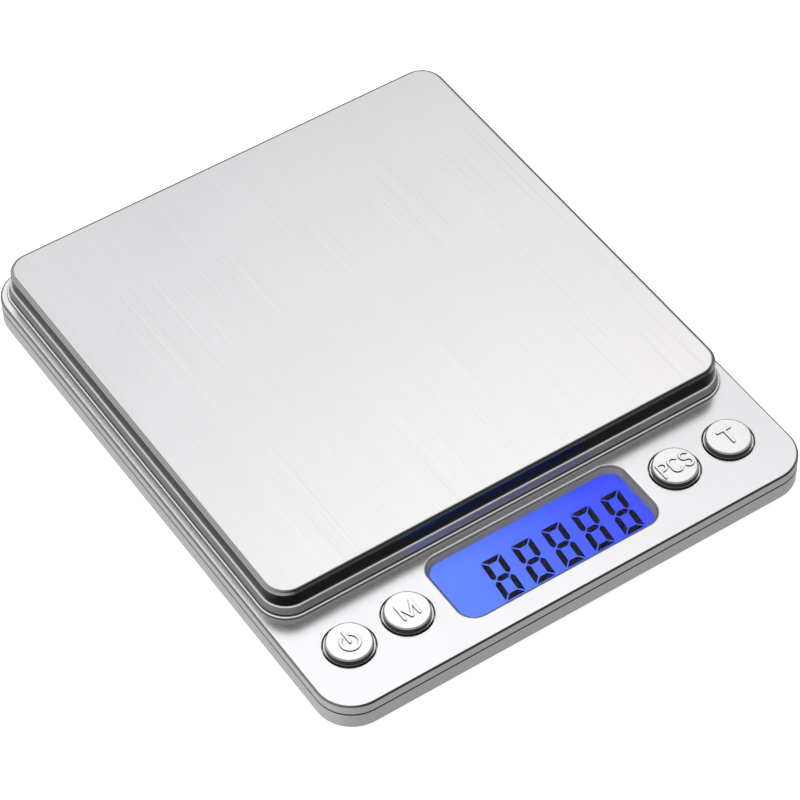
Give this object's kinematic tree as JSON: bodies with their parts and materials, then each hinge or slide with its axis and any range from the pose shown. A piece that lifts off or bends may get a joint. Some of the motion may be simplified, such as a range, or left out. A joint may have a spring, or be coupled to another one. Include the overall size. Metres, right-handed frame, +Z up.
{
  "type": "digital gram scale",
  "caption": "Flat battery-powered gram scale: a square brushed steel pan on a silver rounded casing, with round keys either side of a backlit display.",
  "frame": {"origin": "on the desk, under the middle of the casing's outline", "axes": "+Z up, +X to the right across the scale as its user reads it, +Y away from the user; the display and keys are at the -Y end"},
  "size_m": [0.106, 0.127, 0.019],
  "materials": {
    "backlight_blue": "lit from one end",
    "battery_jacket": "plain printed sleeve",
    "black_wire": "insulated",
    "board_green": "solder mask, satin",
    "button_silver": "silver-painted, smooth satin",
    "capacitor_can": "sleeved can",
    "carrier_grey": "dark silver paint, satin",
    "cell_aluminium": "machined",
    "chip_black": "moulded epoxy",
    "contact_nickel": "nickel plated",
    "crystal_can": "drawn can",
    "foot_rubber": "matt",
    "gauge_silicone": "cast silicone",
    "green_wire": "insulated",
    "lcd_glass": "clear glass with polariser",
    "led_white": "clear epoxy",
    "lens_acrylic": "clear acrylic, polished",
    "pan_steel": "stainless, brushed along Y",
    "plunger_plastic": "moulded",
    "red_wire": "insulated",
    "resistor_ceramic": "glazed",
    "silver_base": "fine metallic silver paint, satin",
    "silver_shell": "fine metallic silver paint, satin",
    "strip_rubber": "layered elastomer",
    "switch_case": "moulded",
    "tape_foam": "adhesive foam",
    "white_plastic": "moulded, matt",
    "white_wire": "insulated",
    "zinc_screw": "zinc plated"
  },
  "bodies": {
    "housing": {"backlight_led": "led_white", "backlight_panel": "backlight_blue", "black_battery_lead": "black_wire", "black_cell_lead": "black_wire", "board_screws": "zinc_screw", "bottom_casing": "silver_base", "bridge_contact": "contact_nickel", "case_screws": "zinc_screw", "cell_base_screws": "zinc_screw", "chip_resistors": "resistor_ceramic", "controller_chip": "chip_black", "converter_chip": "chip_black", "display_connector": "strip_rubber", "display_lens": "lens_acrylic", "filter_capacitors": "capacitor_can", "front_battery_cell": "battery_jacket", "front_left_foot": "foot_rubber", "front_right_foot": "foot_rubber", "gauge_seal": "gauge_silicone", "green_cell_lead": "green_wire", "lcd_frame": "white_plastic", "lcd_front_glass": "lcd_glass", "lcd_rear_glass": "lcd_glass", "load_cell": "cell_aluminium", "main_circuit_board": "board_green", "negative_contact": "contact_nickel", "positive_contact": "contact_nickel", "rear_battery_cell": "battery_jacket", "rear_left_foot": "foot_rubber", "rear_right_foot": "foot_rubber", "red_battery_lead": "red_wire", "red_cell_lead": "red_wire", "tact_switches": "switch_case", "timing_crystal": "crystal_can", "top_casing": "silver_shell", "white_cell_lead": "white_wire"},
    "platform": {"weighing_pan": "pan_steel", "pan_carrier": "carrier_grey", "pan_tape_pads": "tape_foam", "carrier_screws": "zinc_screw"},
    "battery_cover": {"battery_door": "silver_base"},
    "power_key": {"power_button": "button_silver", "power_plunger": "plunger_plastic"},
    "mode_key": {"mode_button": "button_silver", "mode_plunger": "plunger_plastic"},
    "count_key": {"count_button": "button_silver", "count_plunger": "plunger_plastic"},
    "tare_key": {"tare_button": "button_silver", "tare_plunger": "plunger_plastic"}
  },
  "joints": [
    {"name": "platform_travel", "type": "slide", "parent": "housing", "child": "platform", "axis": [0, 0, 1], "range_m": [-0.00025, 0], "stiffness_N_per_m": 20000, "springref_m": 0.00004, "deforming": ["load_cell"]},
    {"name": "power_press", "type": "slide", "parent": "housing", "child": "power_key", "axis": [0, 0, 1], "range_m": [-0.0004, 0], "stiffness_N_per_m": 4000, "springref_m": 0.0001},
    {"name": "mode_press", "type": "slide", "parent": "housing", "child": "mode_key", "axis": [0, 0, 1], "range_m": [-0.0004, 0], "stiffness_N_per_m": 4000, "springref_m": 0.0001},
    {"name": "count_press", "type": "slide", "parent": "housing", "child": "count_key", "axis": [0, 0, 1], "range_m": [-0.0004, 0], "stiffness_N_per_m": 4000, "springref_m": 0.0001},
    {"name": "tare_press", "type": "slide", "parent": "housing", "child": "tare_key", "axis": [0, 0, 1], "range_m": [-0.0004, 0], "stiffness_N_per_m": 4000, "springref_m": 0.0001},
    {"name": "battery_door_slide", "type": "slide", "parent": "housing", "child": "battery_cover", "axis": [0, 1, 0], "range_m": [0, 0.034]}
  ]
}
